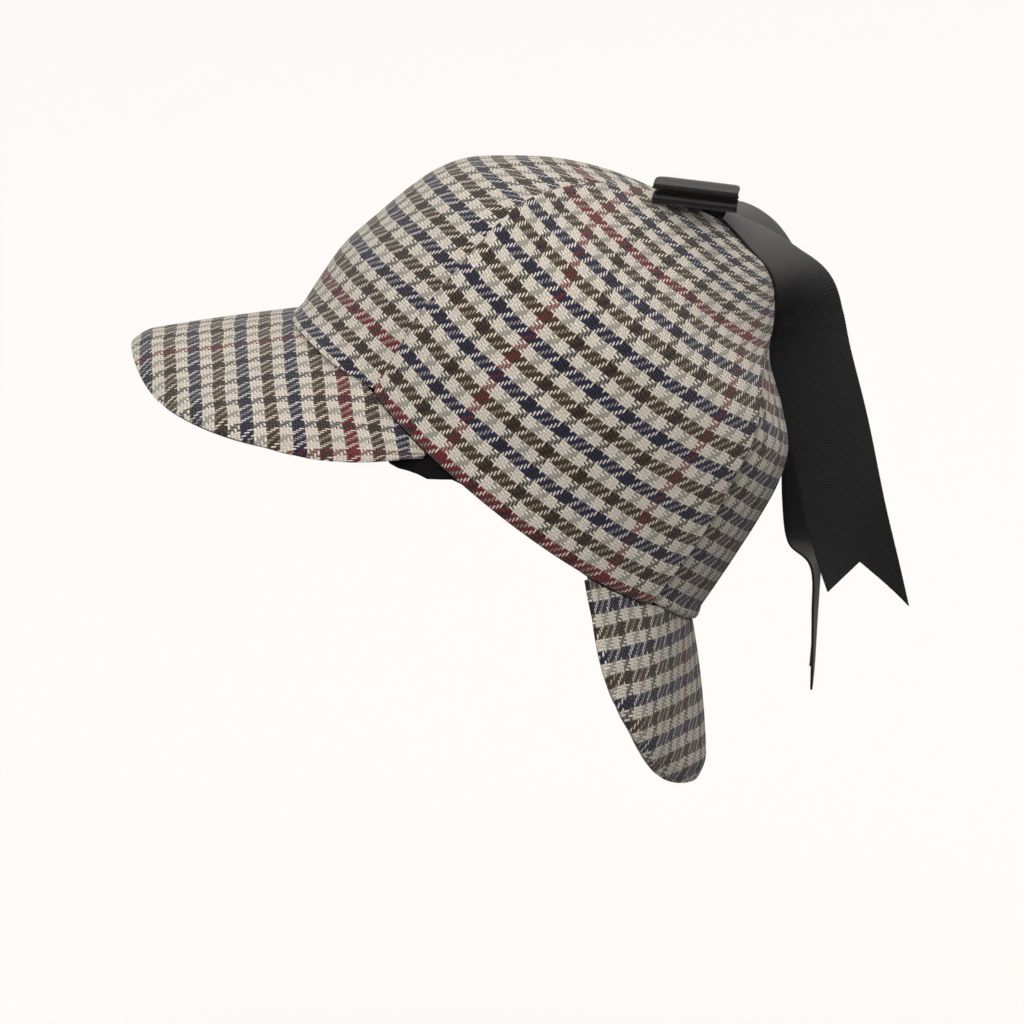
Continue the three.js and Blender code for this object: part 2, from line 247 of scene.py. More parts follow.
def cloth_sheet(name, grid, place, thickness, edge_round):
    """A grid laid over a piece of cloth, then given its thickness and rounded edges.
    place(u, v) gives a point in the hat's frame and the threads counted there both ways."""
    build = bmesh.new()
    bmesh.ops.create_grid(build, x_segments=grid[0], y_segments=grid[1], size=0.5)
    threads = build.loops.layers.uv.new("threads")
    counts = {}
    for corner in build.verts:
        point, counts[corner] = place(corner.co.x + 0.5, corner.co.y + 0.5)
        corner.co = point
    for face in build.faces:
        face.smooth = True
        for loop in face.loops:
            loop[threads].uv = counts[loop.vert]
    mesh = bpy.data.meshes.new(name)
    build.to_mesh(mesh)
    build.free()
    piece = bpy.data.objects.new(name, mesh)
    bpy.context.collection.objects.link(piece)
    wall = piece.modifiers.new("cloth", "SOLIDIFY")
    wall.thickness = thickness / 1000
    wall.offset = -1
    wall.use_even_offset = True
    edges = piece.modifiers.new("rounded_edges", "BEVEL")
    edges.width = edge_round / 1000
    edges.segments = 3
    edges.profile = 0.5
    edges.limit_method = "ANGLE"
    edges.angle_limit = math.radians(50)
    edges.material = -1
    return piece


def dress(piece, node, material):
    """Gives a piece its material and its place on the frame."""
    piece.data.materials.append(material)
    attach(piece, "root")
    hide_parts(node)


def dyed(red, green, blue):
    """A colour as the eye names it, from 0 to 255, turned into light."""
    shares = [value / 255 for value in (red, green, blue)]
    light = [s / 12.92 if s <= 0.04045 else ((s + 0.055) / 1.055) ** 2.4 for s in shares]
    return (*light, 1)


def add_node(tree, kind, inputs=None, **settings):
    made = tree.nodes.new(kind)
    for name, value in settings.items():
        setattr(made, name, value)
    for name, value in (inputs or {}).items():
        if isinstance(value, bpy.types.NodeSocket):
            tree.links.new(value, made.inputs[name])
        else:
            made.inputs[name].default_value = value
    return made


def calc(tree, operation, *values):
    return add_node(tree, "ShaderNodeMath", dict(enumerate(values)), operation=operation).outputs[0]


def blend_colours(tree, share, first, second):
    made = add_node(tree, "ShaderNodeMix", {"Factor": share}, data_type="RGBA")
    for socket, value in zip((made.inputs[6], made.inputs[7]), (first, second)):
        if isinstance(value, bpy.types.NodeSocket):
            tree.links.new(value, socket)
        else:
            socket.default_value = value
    return made.outputs[2]


# The twill's node group counts the threads both ways and tells which of the two lies on top. The top
# yarn shows as a short narrow stroke, shorter for a cross thread, and the darker yarn shows beside it,
# dimmed there as painted shade in the hollows between yarns.
CREAM = dyed(222, 213, 200)
NAVY = dyed(36, 37, 66)
BROWN = dyed(73, 55, 40)
BLACK_YARN = dyed(28, 28, 30)
GREY_YARN = dyed(146, 142, 132)
BURGUNDY = dyed(110, 34, 42)
STRIPE = 16
STRIPE_THREADS = 4
RISE_BURGUNDY = 96
CROSS_BURGUNDY = 80
FLOAT_SLANT = 0.16
FLOAT_WIDTH = 0.62
CROSS_WIDTH = 0.56
CROSS_LENGTH = 0.8
# How bright the hollows between yarns are painted, as painted shade, with a rise or a cross thread on top.
HOLLOW_SHADE = 0.66
CROSS_HOLLOW_SHADE = 0.72

weave = bpy.data.node_groups.new("tweed_weave", "ShaderNodeTree")
weave.interface.new_socket(name="Threads", in_out="INPUT", socket_type="NodeSocketVector")
weave.interface.new_socket(name="Color", in_out="OUTPUT", socket_type="NodeSocketColor")
weave.interface.new_socket(name="Height", in_out="OUTPUT", socket_type="NodeSocketFloat")
weave_in = weave.nodes.new("NodeGroupInput")
weave_out = weave.nodes.new("NodeGroupOutput")


def yarn_wander(scale, detail, reach):
    cloud = add_node(
        weave, "ShaderNodeTexNoise", {"Vector": weave_in.outputs[0], "Scale": scale, "Detail": detail}
    )
    sway = add_node(
        weave,
        "ShaderNodeVectorMath",
        {0: cloud.outputs["Color"], 1: (reach,) * 3, 2: (-reach / 2,) * 3},
        operation="MULTIPLY_ADD",
    )
    return sway.outputs[0]


def add_vectors(first, second):
    return add_node(weave, "ShaderNodeVectorMath", {0: first, 1: second}, operation="ADD").outputs[0]


def scaled_colour(colour, share):
    return add_node(weave, "ShaderNodeVectorMath", {0: colour, 3: share}, operation="SCALE").outputs[0]


drifted = add_vectors(weave_in.outputs[0], yarn_wander(0.07, 1, 1.5))
frayed = add_vectors(drifted, yarn_wander(1.3, 3, 0.6))
rise_cross = add_node(weave, "ShaderNodeSeparateXYZ", {0: frayed})
rise, cross = rise_cross.outputs[0], rise_cross.outputs[1]
rise_thread = calc(weave, "FLOOR", rise)
cross_thread = calc(weave, "FLOOR", cross)
rise_part = calc(weave, "SUBTRACT", rise, rise_thread)
cross_part = calc(weave, "SUBTRACT", cross, cross_thread)
twill_step = calc(weave, "SUBTRACT", calc(weave, "SUBTRACT", rise_thread, cross_thread), 1.0)
step_of_twill = calc(weave, "FLOORED_MODULO", twill_step, 4.0)
rise_on_top = calc(weave, "LESS_THAN", step_of_twill, 1.5)
half_of_float = calc(weave, "FLOORED_MODULO", step_of_twill, 2.0)


def on_top(rise_value, cross_value):
    spread = calc(weave, "SUBTRACT", rise_value, cross_value)
    return calc(weave, "MULTIPLY_ADD", spread, rise_on_top, cross_value)


rise_along = calc(weave, "SUBTRACT", cross_part, half_of_float)
cross_along = calc(weave, "SUBTRACT", calc(weave, "ADD", half_of_float, rise_part), 1.0)
along_yarn = on_top(rise_along, cross_along)
across_yarn = calc(weave, "MULTIPLY_ADD", on_top(rise_part, cross_part), 2.0, -1.0)
across_yarn = calc(weave, "MULTIPLY_ADD", along_yarn, FLOAT_SLANT, across_yarn)
from_middle = calc(
    weave,
    "MULTIPLY_ADD",
    calc(weave, "MULTIPLY", across_yarn, across_yarn),
    0.85,
    calc(weave, "MULTIPLY", calc(weave, "POWER", calc(weave, "ABSOLUTE", along_yarn), 3.0), 0.8),
)
yarn_round = calc(weave, "SQRT", calc(weave, "MAXIMUM", calc(weave, "SUBTRACT", 1.0, from_middle), 0.0))
yarn_height = calc(weave, "MULTIPLY_ADD", yarn_round, 0.7, 0.3)


def is_striped(thread, period):
    place = calc(weave, "FLOORED_MODULO", thread, float(period))
    return calc(weave, "LESS_THAN", place, STRIPE_THREADS - 0.5)


half_stripe = float(STRIPE / 2)
second_rise = calc(weave, "ADD", rise_thread, half_stripe)
second_cross = calc(weave, "ADD", cross_thread, half_stripe)
rise_dye = blend_colours(weave, is_striped(rise_thread, STRIPE), CREAM, NAVY)
rise_dye = blend_colours(weave, is_striped(second_rise, STRIPE), rise_dye, BROWN)
rise_dye = blend_colours(weave, is_striped(rise_thread, RISE_BURGUNDY), rise_dye, BURGUNDY)
cross_dye = blend_colours(weave, is_striped(cross_thread, STRIPE), CREAM, BLACK_YARN)
cross_dye = blend_colours(weave, is_striped(second_cross, STRIPE), cross_dye, GREY_YARN)
cross_dye = blend_colours(weave, is_striped(cross_thread, CROSS_BURGUNDY), cross_dye, BURGUNDY)
top_dye = blend_colours(weave, rise_on_top, cross_dye, rise_dye)

# Each yarn is a little lighter or darker than the next, and loose pale fibres lie over the dark ones.
# Each yarn is also painted lighter along its middle and darker towards its sides, as painted shade.
PALE_FIBRE = dyed(150, 142, 134)
in_width = calc(weave, "SUBTRACT", on_top(FLOAT_WIDTH, CROSS_WIDTH), calc(weave, "ABSOLUTE", across_yarn))
in_length = calc(weave, "SUBTRACT", on_top(0.9, CROSS_LENGTH), calc(weave, "ABSOLUTE", along_yarn))
inside = add_node(
    weave,
    "ShaderNodeMath",
    {0: calc(weave, "MINIMUM", in_width, in_length), 1: 3.0, 2: 0.5},
    operation="MULTIPLY_ADD",
    use_clamp=True,
).outputs[0]
darken_share = on_top(0.95, 0.5)
hollow_dye = add_node(
    weave, "ShaderNodeMix", {"Factor": darken_share}, data_type="RGBA", blend_type="DARKEN"
)
weave.links.new(rise_dye, hollow_dye.inputs[6])
weave.links.new(cross_dye, hollow_dye.inputs[7])
yarn_number = on_top(rise_thread, calc(weave, "ADD", cross_thread, 0.37))
yarn_luck = add_node(
    weave, "ShaderNodeTexWhiteNoise", {"W": yarn_number}, noise_dimensions="1D"
).outputs["Value"]
fibres = add_node(
    weave, "ShaderNodeTexNoise", {"Vector": weave_in.outputs[0], "Scale": 2.6, "Detail": 3, "Roughness": 0.7}
).outputs["Fac"]
fibre_share = add_node(
    weave, "ShaderNodeMapRange", {"Value": fibres, "From Min": 0.5, "From Max": 0.78, "To Max": 0.3}
).outputs[0]
fibred = blend_colours(weave, fibre_share, top_dye, PALE_FIBRE)
# A yarn's brightness: a random share for each yarn and from the fibres, times painted shade that darkens it
# towards its sides by its height.
luck_and_painted_shade = calc(weave, "MULTIPLY_ADD", yarn_luck, 0.2, 0.88)
luck_and_painted_shade = calc(weave, "MULTIPLY", luck_and_painted_shade, calc(weave, "MULTIPLY_ADD", yarn_height, 0.4, 0.65))
luck_and_painted_shade = calc(weave, "MULTIPLY", luck_and_painted_shade, calc(weave, "MULTIPLY_ADD", fibres, 0.6, 0.7))
# Painted shade: the hollows beside each top yarn take the darker of the two yarns' colours, dimmed.
hollow_shaded = scaled_colour(hollow_dye.outputs[2], on_top(HOLLOW_SHADE, CROSS_HOLLOW_SHADE))
shaded = blend_colours(weave, inside, hollow_shaded, scaled_colour(fibred, luck_and_painted_shade))
nap = calc(weave, "MULTIPLY_ADD", fibres, 0.7, calc(weave, "MULTIPLY", yarn_height, inside))
weave.links.new(shaded, weave_out.inputs["Color"])
weave.links.new(nap, weave_out.inputs["Height"])

tweed = bpy.data.materials.new("tweed")
tweed.use_nodes = True
tweed_threads = add_node(tweed.node_tree, "ShaderNodeUVMap", uv_map="threads")
tweed_weave = tweed.node_tree.nodes.new("ShaderNodeGroup")
tweed_weave.node_tree = weave
tweed.node_tree.links.new(tweed_threads.outputs[0], tweed_weave.inputs["Threads"])
tweed_relief = add_node(
    tweed.node_tree,
    "ShaderNodeBump",
    {"Height": tweed_weave.outputs["Height"], "Strength": 0.75, "Distance": 0.0005},
)
tweed_shader = tweed.node_tree.nodes["Principled BSDF"]
tweed_shader.inputs["Roughness"].default_value = 0.95
tweed_shader.inputs["Specular IOR Level"].default_value = 0.15
tweed_shader.inputs["Sheen Weight"].default_value = 0.25
tweed_shader.inputs["Sheen Roughness"].default_value = 0.5
tweed.node_tree.links.new(tweed_weave.outputs["Color"], tweed_shader.inputs["Base Color"])
tweed.node_tree.links.new(tweed_relief.outputs[0], tweed_shader.inputs["Normal"])

TOP_ROWS = 0.06
TOP_CLOSE = 0.8
HEM_BULGE = 1.3
HEM_SHARE = 0.032
FRONT_LAP = Vector((5.4, 0, -3.5))
FRONT_LAP_SHARE = 0.14


def front_lap(from_front, share):
    """How much of the crown's front laps down over the peak's seam, from 0 to 1."""
    beside = smoothstep(from_front, 3, 22) * (1 - smoothstep(from_front, 38, 58))
    return beside * max(0, 1 - share / FRONT_LAP_SHARE) ** 2


crown_top = Vector(((CROWN_SECTIONS[-1].front + CROWN_SECTIONS[-1].back) / 2, 0, CROWN_SECTIONS[-1].height))
for index, gore in enumerate(GORES):
    middle = (index + 0.5) * GORE_ANGLE

    def gore_place(u, v):
        share = min(v / (1 - TOP_ROWS), 1)
        close = TOP_CLOSE * max(0, v - (1 - TOP_ROWS)) / TOP_ROWS
        edge = SEAM_GAP / 2 / (1 - close) / crown_section(share).side
        angle = lerp(index * GORE_ANGLE + edge, (index + 1) * GORE_ANGLE - edge, u)
        point = crown_point(angle, share)
        inside_gore = math.sin(math.pi * share) * math.sin(math.pi * u)
        uneven = rumple(point + Vector((0, 0, 300)), 34, 0.7) * inside_gore
        from_front = math.degrees(min(angle, 2 * math.pi - angle))
        bead = math.sin(math.pi * min(share / HEM_SHARE, 1)) ** 0.5
        hem = HEM_BULGE * smoothstep(from_front, 139, 146) * bead
        point = (point + (uneven + hem) * crown_normal(angle, share)).lerp(crown_top, close)
        outward = crown_normal(angle, 0)
        outward.z = 0
        lap = front_lap(from_front, share)
        point += lap * (FRONT_LAP.x * outward.normalized() + Vector((0, 0, FRONT_LAP.z)))
        rise = (climb(middle, share) - lap * FRONT_LAP.length) / RISE_PITCH + gore.rise_start
        cross = ring_run(middle, angle, share) / CROSS_PITCH + gore.cross_start
        return WORN @ point, (rise, cross + WEAVE_REPEAT * index)

    piece = cloth_sheet(gore.name + "_cloth", GORE_GRID, gore_place, CROWN_CLOTH, 0.5)
    dress(piece, gore.name, tweed)
    wide = ring_run(index * GORE_ANGLE, (index + 1) * GORE_ANGLE, 0.2) / 1000
    long = climb(middle, 1) / 1000

# Ear flaps: two broad tongues of the same tweed, sewn to the rim on either side, turned up over the
# crown along a soft rolled fold and tied together by their tips on top.
FLAP_CLOTH = 2.6
FLAP_TIP_CLOTH = 1.5
FLAP_WALL = 1.4
FLAP_LIFT = 0.65
FLAP_MID_GAP = 0.6
FLAP_GRID = (120, 130)
FOLD_ROWS = 0.11
FOLD_CORNER = 1.2
FOLD_MIDDLE = 7.2
FOLD_EVENNESS = 0.7
FOLD_INNER = -1.9
FOLD_ROUND = math.radians(150)
FOLD_THREADS = 0
FLAP_CROSS_START = {1: 35.5, -1: 44.5}

FlapEdge = namedtuple("FlapEdge", "front rear")
FLAP_EDGES = [
    FlapEdge(55, 138),
    FlapEdge(53, 139),
    FlapEdge(51, 137),
    FlapEdge(49, 141),
    FlapEdge(46, 160),
    FlapEdge(44, 176),
    FlapEdge(42, 178),
]


def fold_hang(share):
    """How far the fold hangs below the rim at a share of the flap's width."""
    return lerp(FOLD_CORNER, FOLD_MIDDLE, max(0, math.sin(math.pi * share)) ** FOLD_EVENNESS)


for name, side, gore_under in (
    ("ear_flap_left", 1, "gore_side_left"),
    ("ear_flap_right", -1, "gore_side_right"),
):
    outer = FLAP_LIFT + FLAP_CLOTH
    roll_middle = (outer + FOLD_INNER) / 2
    roll_half = (outer - FOLD_INNER) / 2

    def flap_place(u, v):
        share = max(0, v - FOLD_ROWS) / (1 - FOLD_ROWS)
        widest = math.pi - math.asin(min(1, FLAP_MID_GAP / crown_section(share).side))
        edges = read_rows(FLAP_EDGES, share)
        rear = min(math.radians(edges.rear), widest)
        across = u if side > 0 else 1 - u
        angle = side * lerp(math.radians(edges.front), rear, across)
        hang = fold_hang(across)
        middle = side * math.radians(95)
        cross = ring_run(middle, angle, share) / CROSS_PITCH + FLAP_CROSS_START[side]
        if v < FOLD_ROWS:
            turned = FOLD_ROUND * (1 - v / FOLD_ROWS)
            depth = max(hang * math.sin(turned) ** 0.8, GAP)
            point = crown_offset(angle, 0, roll_middle + roll_half * math.cos(turned), depth)
            down = hang * math.sin(min(turned, math.pi / 2)) ** 0.8
            beyond = max(0, turned - math.pi / 2) * roll_half
            rise = (hang - down - beyond) / RISE_PITCH + FOLD_THREADS
            return WORN @ point, (rise, cross)
        point = crown_point(angle, share)
        cloth = lerp(FLAP_CLOTH, FLAP_TIP_CLOTH, smoothstep(share, 0.45, 0.72))
        rise = (climb(middle, share) + hang) / RISE_PITCH + FOLD_THREADS
        inside = math.sin(math.pi * across) ** 0.5 * math.sin(math.pi * min(share, 0.9) / 0.9) ** 0.5
        uneven = rumple(point + Vector((40 * side, 0, 90)), 26, 0.9) * inside * cloth / FLAP_CLOTH
        lift = FLAP_LIFT + cloth + uneven
        return WORN @ (point + lift * crown_normal(angle, share)), (rise, cross)

    piece = cloth_sheet(name + "_cloth", FLAP_GRID, flap_place, FLAP_WALL, 0.6)
    dress(piece, name, tweed)

# Peaks: a stiff crescent at the front and one at the back, board covered with the tweed on both
# sides and sewn under the rim. Each is rolled about its middle line, so its threads run along that.
PEAK_CLOTH = 3
PEAK_TAPER = 2.95
PEAK_END_REACH = 1.2
PEAK_ARCH = 0.37
PEAK_EASE = 7
PEAK_GRID = (150, 48)
PEAK_ROLL = 3.5
PEAK_ROLL_FROM = 0.86

Peak = namedtuple(
    "Peak", "name at spread reach droop end_droop curl tip_thread tip_way cross_start cross_pitch cross_slope"
)
PEAKS = [
    Peak("front_peak", 0, 73, 69, 46.5, 57.5, 4, -67.5, 1, 35.6, 0.84, 0.185),
    Peak("back_peak", 180, 60, 66, 46, 55, 10, 87, -1, 50, 1, 0),
]


def peak_seat(angle):
    """How far below the rim a peak is sewn, under the crown's edge or under the fold beside it."""
    from_front = abs(math.degrees(math.atan2(math.sin(angle), math.cos(angle))))
    front, rear = FLAP_EDGES[0]
    share = clamp((from_front - front) / (rear - front))
    nearness = min(from_front - front, rear - from_front) / PEAK_EASE + 1
    return GAP + smoothstep(nearness, 0, 1) * (GAP + fold_hang(share))


def peak_point(peak, u, v, roll=PEAK_ROLL):
    """A point of a peak's upper face. u runs from side to side and v from the rim to the free edge."""
    turn = lerp(peak.spread, -peak.spread, u)
    share = abs(turn) / peak.spread
    angle = math.radians(peak.at + turn)
    length = lerp(peak.reach, PEAK_END_REACH, share**PEAK_TAPER)
    droop = lerp(peak.droop, peak.end_droop, smoothstep(share, 0, PEAK_ARCH))
    bend = math.radians(peak.curl)
    first = math.radians(droop) - bend / 2
    slope = first + bend * v
    out = (math.sin(slope) - math.sin(first)) / bend * length
    down = (math.cos(first) - math.cos(slope)) / bend * length
    rolled = roll * (max(0, v - PEAK_ROLL_FROM) / (1 - PEAK_ROLL_FROM)) ** 2 * length / peak.reach
    outward = crown_normal(angle, 0)
    outward.z = 0
    point = crown_point(angle, 0) + (out - rolled * math.cos(slope)) * outward.normalized()
    point.z -= peak_seat(angle) + down + rolled * math.sin(slope)
    return point


def peak_way(peak):
    return (peak_point(peak, 0.5, 1) - peak_point(peak, 0.5, 0)).normalized()


@lru_cache(maxsize=None)
def peak_runs(peak, v):
    """The way across a peak from its middle line, measured square to that line."""
    way = peak_way(peak)
    stops = [peak_point(peak, step / PEAK_GRID[0], v, 0) for step in range(PEAK_GRID[0] + 1)]
    flat = [stop - stop.dot(way) * way for stop in stops]
    runs = [0.0]
    for before, after in zip(flat, flat[1:]):
        runs.append(runs[-1] + (after - before).length)
    return [run - runs[PEAK_GRID[0] // 2] for run in runs]


for peak in PEAKS:

    def peak_place(u, v):
        from_tip = (peak_point(peak, 0.5, 1, 0) - peak_point(peak, u, v, 0)).dot(peak_way(peak))
        rise = peak.tip_thread + peak.tip_way * from_tip / RISE_PITCH
        run = peak_runs(peak, v)[round(u * PEAK_GRID[0])]
        cross = run / peak.cross_pitch + peak.cross_slope * from_tip + peak.cross_start
        return WORN @ peak_point(peak, u, v), (rise, cross)

    piece = cloth_sheet(peak.name + "_cloth", PEAK_GRID, peak_place, PEAK_CLOTH, 0.9)
    dress(piece, peak.name, tweed)

# Sweatband: a strip of black satin sewn inside the rim, with its lower edge showing under it. Its
# ends meet at the middle of the back.
BAND_CLOTH = 1.2
BAND_SETBACK = 2.95
BAND_SEAM = 0.4
BAND_GRID = (160, 24)
BAND_ABOVE = 0.15
BAND_TURN = 0.35

BandStop = namedtuple("BandStop", "from_front below")
BAND_HANG = [
    BandStop(0, 6.5),
    BandStop(45, 6.5),
    BandStop(52.5, 9.5),
    BandStop(60, 15),
    BandStop(67.5, 19),
    BandStop(75, 15),
    BandStop(82.5, 7.5),
    BandStop(90, 6.5),
    BandStop(180, 6.5),
]

satin = bpy.data.materials.new("band_satin")
satin.use_nodes = True
satin_shader = satin.node_tree.nodes["Principled BSDF"]
satin_place = add_node(satin.node_tree, "ShaderNodeUVMap", uv_map="threads")
satin_threads = add_node(
    satin.node_tree,
    "ShaderNodeTexWave",
    {"Vector": satin_place.outputs[0], "Scale": 1.2, "Distortion": 1.5, "Detail": 2},
    bands_direction="Y",
)
satin_relief = add_node(
    satin.node_tree,
    "ShaderNodeBump",
    {"Height": satin_threads.outputs["Fac"], "Strength": 0.2, "Distance": 0.0002},
)
# The satin's black, painted lighter along its raised lines as painted sheen and darker in the furrows between
# them as painted shade.
satin_dye_and_sheen = blend_colours(satin.node_tree, satin_threads.outputs["Fac"], dyed(12, 11, 12), dyed(22, 20, 21))
satin.node_tree.links.new(satin_dye_and_sheen, satin_shader.inputs["Base Color"])
satin.node_tree.links.new(satin_relief.outputs[0], satin_shader.inputs["Normal"])
satin_shader.inputs["Roughness"].default_value = 0.42
satin_shader.inputs["Specular IOR Level"].default_value = 0.3


def band_hang(angle):
    """How far the band's free edge hangs below the rim. It sags behind the front peak's ends."""
    from_front = math.degrees(abs(angle))
    for before, after in zip(BAND_HANG, BAND_HANG[1:]):
        if from_front <= after.from_front:
            share = (from_front - before.from_front) / (after.from_front - before.from_front)
            return lerp(before.below, after.below, smoothstep(share, 0, 1))
    return BAND_HANG[-1].below


def band_place(u, v):
    edge = BAND_SEAM / CROWN_SECTIONS[0].side
    angle = lerp(edge - math.pi, math.pi - edge, u)
    below = band_hang(angle) * max(0, 1 - v / BAND_TURN)
    share = BAND_ABOVE * max(0, v - BAND_TURN) / (1 - BAND_TURN)
    point = crown_offset(angle, share, -BAND_SETBACK, below)
    height = climb(math.pi / 2, share) - below
    return WORN @ point, (ring_run(0, angle, 0), height)


piece = cloth_sheet("sweatband_satin", BAND_GRID, band_place, BAND_CLOTH, 0.4)
dress(piece, "sweatband", satin)
band_width = max(stop.below for stop in BAND_HANG) + climb(math.pi / 2, BAND_ABOVE)
band_size = (ring_run(-math.pi, math.pi, 0) / 1000, band_width / 1000)

# Bow: black grosgrain ribbon tied over the flaps' tips. Two flat loops lie one on the other on the
# wearer's left and one lies on the right, gathered under a plump knot.
RIBBON_CLOTH = 1
RIBBON_WIDTH = 34.2
GATHER_WIDTH = 12
GATHER_OVER = 26
RIB_PITCH = 1.1
BOW_AT = Vector((85, 0, 108))
METRES = Matrix.Scale(0.001, 4)

LoopStop = namedtuple("LoopStop", "out rise")
LOOP_PATH = [
    LoopStop(7.6, 0.8),
    LoopStop(14, 1.2),
    LoopStop(20, 1.5),
    LoopStop(26, 1.8),
    LoopStop(31, 1.7),
    LoopStop(33.8, 0.7),
    LoopStop(35.1, -0.7),
    LoopStop(34.2, -1.9),
    LoopStop(31, -2),
    LoopStop(26, -1.8),
    LoopStop(20, -1.5),
    LoopStop(14, -1.2),
    LoopStop(7.6, -0.8),
]
BowLoop = namedtuple("BowLoop", "name side tilt turn knot_lift end_lift lean rests_on")
LOOPS = [
    BowLoop("bow_loop_upper", -1, 6.2, 12, 5.4, 5.2, 0.35, "bow_loop_lower"),
    BowLoop("bow_loop_lower", -1, 6.2, 12, 1.45, -0.65, -0.35, "ear_flap_left"),
    BowLoop("bow_loop_far", 1, 26, 6, -2.4, -8, 0, "ear_flap_right"),
]
LOOP_GRID = (20, 96)

# Grosgrain: thick weft ribs run across the ribbon and fine warp threads over them.
ribs = bpy.data.node_groups.new("grosgrain_ribs", "ShaderNodeTree")
ribs.interface.new_socket(name="Ribs", in_out="INPUT", socket_type="NodeSocketVector")
ribs.interface.new_socket(name="Color", in_out="OUTPUT", socket_type="NodeSocketColor")
ribs.interface.new_socket(name="Height", in_out="OUTPUT", socket_type="NodeSocketFloat")
ribs_in = ribs.nodes.new("NodeGroupInput")
ribs_out = ribs.nodes.new("NodeGroupOutput")
ribs_place = add_node(ribs, "ShaderNodeSeparateXYZ", {0: ribs_in.outputs[0]})
rib_round = calc(ribs, "ABSOLUTE", calc(ribs, "SINE", calc(ribs, "MULTIPLY", ribs_place.outputs[1], math.pi)))
warp_round = calc(ribs, "SINE", calc(ribs, "MULTIPLY", ribs_place.outputs[0], 14.0))
rib_noise = add_node(
    ribs, "ShaderNodeTexNoise", {"Vector": ribs_in.outputs[0], "Scale": 0.35, "Detail": 3}
).outputs["Fac"]
rib_height = calc(ribs, "MULTIPLY_ADD", warp_round, 0.08, rib_round)
ribs.links.new(calc(ribs, "MULTIPLY_ADD", rib_noise, 0.25, rib_height), ribs_out.inputs["Height"])
# Painted highlight and shade: the ribs' crests are painted lighter and their furrows darker, with random tone
# from the noise.
rib_tone_and_highlight = calc(ribs, "MULTIPLY", rib_round, rib_noise)
ribs.links.new(blend_colours(ribs, rib_tone_and_highlight, dyed(10, 10, 12), dyed(34, 32, 33)), ribs_out.inputs["Color"])

grosgrain = bpy.data.materials.new("grosgrain")
grosgrain.use_nodes = True
grosgrain_place = add_node(grosgrain.node_tree, "ShaderNodeUVMap", uv_map="threads")
grosgrain_ribs = grosgrain.node_tree.nodes.new("ShaderNodeGroup")
grosgrain_ribs.node_tree = ribs
grosgrain.node_tree.links.new(grosgrain_place.outputs[0], grosgrain_ribs.inputs["Ribs"])
grosgrain_relief = add_node(
    grosgrain.node_tree,
    "ShaderNodeBump",
    {"Height": grosgrain_ribs.outputs["Height"], "Strength": 0.3, "Distance": 0.0003},
)
grosgrain_shader = grosgrain.node_tree.nodes["Principled BSDF"]
grosgrain_shader.inputs["Roughness"].default_value = 0.42
grosgrain_shader.inputs["Specular IOR Level"].default_value = 0.8
grosgrain_shader.inputs["Sheen Weight"].default_value = 0.12
grosgrain_shader.inputs["Sheen Roughness"].default_value = 0.35
grosgrain_shader.inputs["Sheen Tint"].default_value = (1, 0.94, 0.87, 1)
grosgrain.node_tree.links.new(grosgrain_ribs.outputs["Color"], grosgrain_shader.inputs["Base Color"])
grosgrain.node_tree.links.new(grosgrain_relief.outputs[0], grosgrain_shader.inputs["Normal"])


def ribbon_width(distance):
    """The ribbon is bunched at the knot and opens out over a short run."""
    return lerp(GATHER_WIDTH, RIBBON_WIDTH, smoothstep(distance, 0, GATHER_OVER))


loop_first = LOOP_PATH[0].out
loop_last = max(stop.out for stop in LOOP_PATH)
for bow_loop in LOOPS:
    placed = METRES @ Matrix.Translation(BOW_AT)
    placed = placed @ Matrix.Rotation(math.radians(bow_loop.tilt), 4, "Y")
    placed = placed @ Matrix.Rotation(math.radians(bow_loop.side * bow_loop.turn), 4, "Z")

    def loop_line(share):
        stop = read_rows(LOOP_PATH, share)
        bent = ((stop.out - loop_first) / (loop_last - loop_first)) ** 2
        leaning = bow_loop.lean * stop.rise * smoothstep(stop.out, 22, 32)
        return Vector((stop.out - leaning, lerp(bow_loop.knot_lift, bow_loop.end_lift, bent) + stop.rise))

    loop_stops = [loop_line(step / 400) for step in range(401)]
    loop_runs = [0.0]
    for before, after in zip(loop_stops, loop_stops[1:]):
        loop_runs.append(loop_runs[-1] + (after - before).length)

    def loop_place(u, v):
        at = loop_line(v)
        along = (loop_line(min(v + TINY, 1)) - loop_line(max(v - TINY, 0))).normalized()
        out = -0.5 * RIBBON_CLOTH
        across = -bow_loop.side * (u - 0.5) * ribbon_width(at.x - loop_first)
        point = Vector((across, bow_loop.side * (at.x - along.y * out), at.y + along.x * out))
        flat_across = (u - 0.5) * RIBBON_WIDTH
        return placed @ point, (flat_across / RIB_PITCH, loop_runs[round(v * 400)] / RIB_PITCH)

    piece = cloth_sheet(bow_loop.name + "_ribbon", LOOP_GRID, loop_place, RIBBON_CLOTH, 0.3)
    dress(piece, bow_loop.name, grosgrain)

# Knot: one wrap of the same grosgrain, drawn tight round the loops and the tops of the tails, so that
# it bulges between its creases.
KNOT_SIZE = Vector((17, 14, 11))
KNOT_TILT = math.radians(30)
KNOT_DROP = 1.2
KNOT_ROUND = 0.62
KNOT_WAIST = 0.12
KNOT_CREASE = 0.05
KNOT_CUTS = 23


def knot_pull(a, b):
    return math.sqrt(1 - KNOT_ROUND * ((a * a + b * b) / 2 - (a * a * b * b) / 3))


